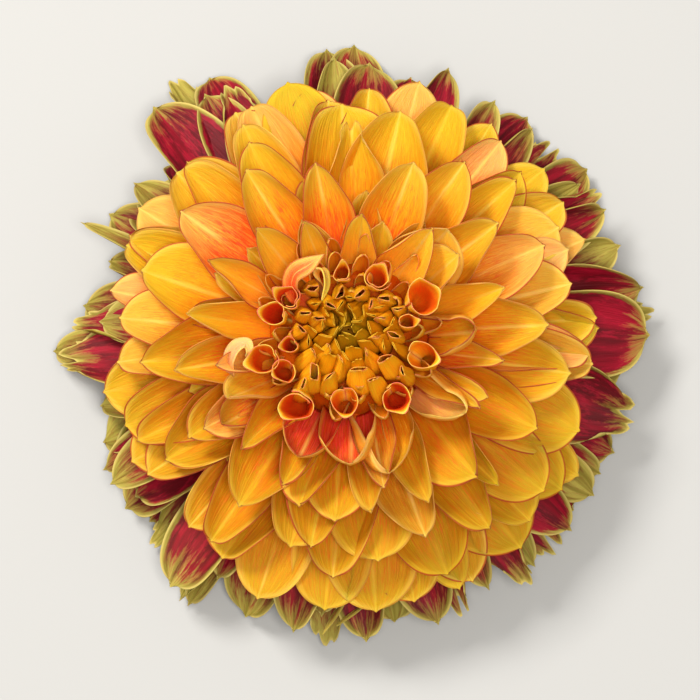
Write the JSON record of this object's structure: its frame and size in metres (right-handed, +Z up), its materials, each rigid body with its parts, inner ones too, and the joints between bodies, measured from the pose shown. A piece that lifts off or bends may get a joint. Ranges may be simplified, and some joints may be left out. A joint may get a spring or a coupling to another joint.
{
  "type": "dahlia flower",
  "caption": "Cut dahlia head with rolled gold petals round a budded eye, crimson petals behind, papery and green bracts, and a short stem stub.",
  "frame": {"origin": "on the surface that the head rests on, under the middle of the bloom, where the axis of the stem meets it", "axes": "+Z up along the stem's axis to the eye of the bloom, +Y towards the top of the picture, +X to its right"},
  "size_m": [0.149, 0.15, 0.0662],
  "materials": {
    "green_flesh": "satin",
    "papery_bract": "matte",
    "crimson_petal": "satin",
    "gold_petal": "satin",
    "green_gold_bud": "satin"
  },
  "bodies": {
    "root": {"stem_and_green_bracts": "green_flesh", "papery_bracts": "papery_bract", "crimson_petals": "crimson_petal", "gold_petals": "gold_petal", "centre_buds": "green_gold_bud"}
  },
  "joints": []
}
